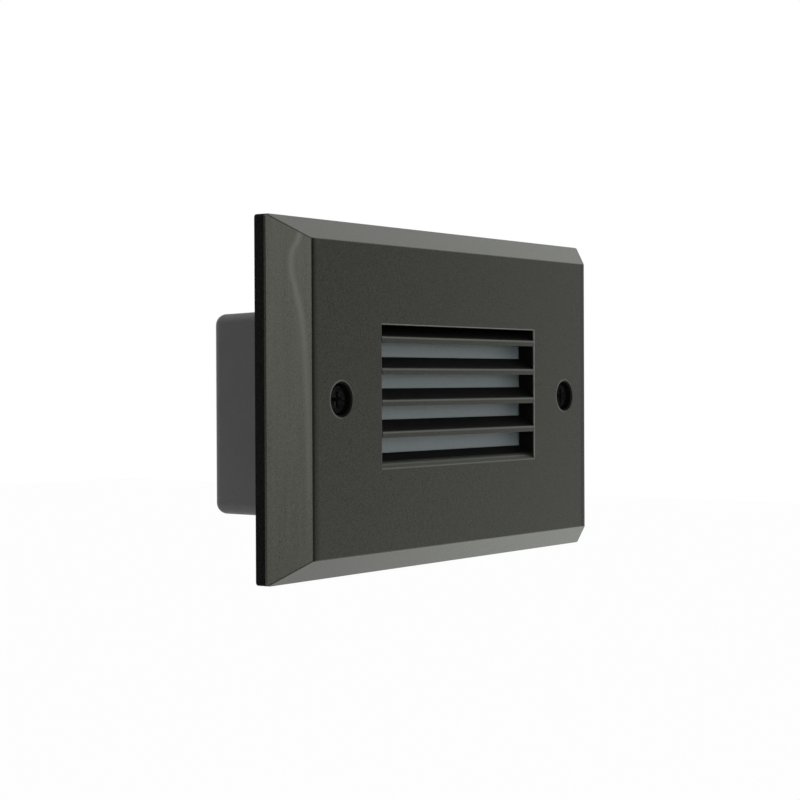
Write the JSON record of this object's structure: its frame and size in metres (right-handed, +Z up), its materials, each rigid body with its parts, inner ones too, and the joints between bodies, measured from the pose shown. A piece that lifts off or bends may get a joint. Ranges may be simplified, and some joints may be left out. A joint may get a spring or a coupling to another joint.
{
  "type": "step light",
  "caption": "Recessed louvred step light for a wall box: bevelled cast plate with shading blades over a frosted lens, foam gasket, two face screws and a moulded rear housing.",
  "frame": {"origin": "centre of the wall face, which is the back of the foam gasket", "axes": "+X to the right as seen from the front, +Y into the wall, +Z up; the front looks along -Y"},
  "size_m": [0.1142, 0.0405, 0.0698],
  "materials": {
    "faceplate_paint": "fine-textured dark bronze powder coat",
    "foam": "black closed-cell foam, matte",
    "seal_rubber": "black rubber, matte",
    "frosted_lens": "frosted translucent sheet",
    "housing_plastic": "grey moulded plastic, satin",
    "grommet_rubber": "black rubber",
    "white_plastic": "white reflective plastic",
    "board_white": "white solder mask on aluminium",
    "led_package": "yellow phosphor in a white package",
    "spreader_metal": "plain rolled sheet",
    "film": "amber insulating film",
    "board_green": "green solder mask",
    "capacitor_sleeve": "dark shrink sleeve",
    "ferrite": "dark grey ferrite",
    "coil_tape": "yellow winding tape",
    "capacitor_case": "yellow moulded case",
    "chip_plastic": "black moulded epoxy",
    "resistor_coat": "green-grey coating with metal caps",
    "varistor_coat": "blue epoxy coating",
    "lead_red": "red insulation",
    "lead_black": "black insulation",
    "screw_dark": "dark coated steel, semi-gloss",
    "nylon": "dark nylon",
    "screw_zinc": "zinc-plated steel"
  },
  "bodies": {
    "root": {"faceplate": "faceplate_paint", "wall_gasket": "foam", "lens_gasket": "seal_rubber", "housing_gasket": "foam", "lens": "frosted_lens", "back_housing": "housing_plastic", "lead_grommet": "grommet_rubber", "light_chamber": "white_plastic", "led_board": "board_white", "leds": "led_package", "heat_spreader": "spreader_metal", "insulating_sheet": "film", "driver_board": "board_green", "storage_capacitor": "capacitor_sleeve", "transformer_core": "ferrite", "transformer_coil": "coil_tape", "film_capacitor": "capacitor_case", "bridge_rectifier": "chip_plastic", "driver_chip": "chip_plastic", "fuse_resistor": "resistor_coat", "varistor": "varistor_coat", "led_lead_positive": "lead_red", "led_lead_negative": "lead_black", "housing_screws": "screw_zinc", "led_board_screws": "screw_zinc", "heat_spreader_screws": "screw_zinc", "driver_board_screws": "screw_zinc"},
    "left_screw": {"left_face_screw": "screw_dark"},
    "right_screw": {"right_face_screw": "screw_dark"},
    "left_seal": {"left_screw_seal": "nylon"},
    "right_seal": {"right_screw_seal": "nylon"}
  },
  "joints": [
    {"name": "left_screw_travel", "type": "slide", "parent": "root", "child": "left_seal", "axis": [0, -1, 0], "range_m": [0, 0.0107]},
    {"name": "left_screw_turn", "type": "hinge", "parent": "left_seal", "child": "left_screw", "pos_m": [-0.04167, 0, 0], "axis": [0, -1, 0], "range_deg": [0, 4854]},
    {"name": "right_screw_travel", "type": "slide", "parent": "root", "child": "right_seal", "axis": [0, -1, 0], "range_m": [0, 0.0107]},
    {"name": "right_screw_turn", "type": "hinge", "parent": "right_seal", "child": "right_screw", "pos_m": [0.04167, 0, 0], "axis": [0, -1, 0], "range_deg": [0, 4854]}
  ],
  "couplings": [
    {"joint": "left_screw_turn", "follows": "left_screw_travel", "rad_per_m": 7915.8},
    {"joint": "right_screw_turn", "follows": "right_screw_travel", "rad_per_m": 7915.8}
  ]
}
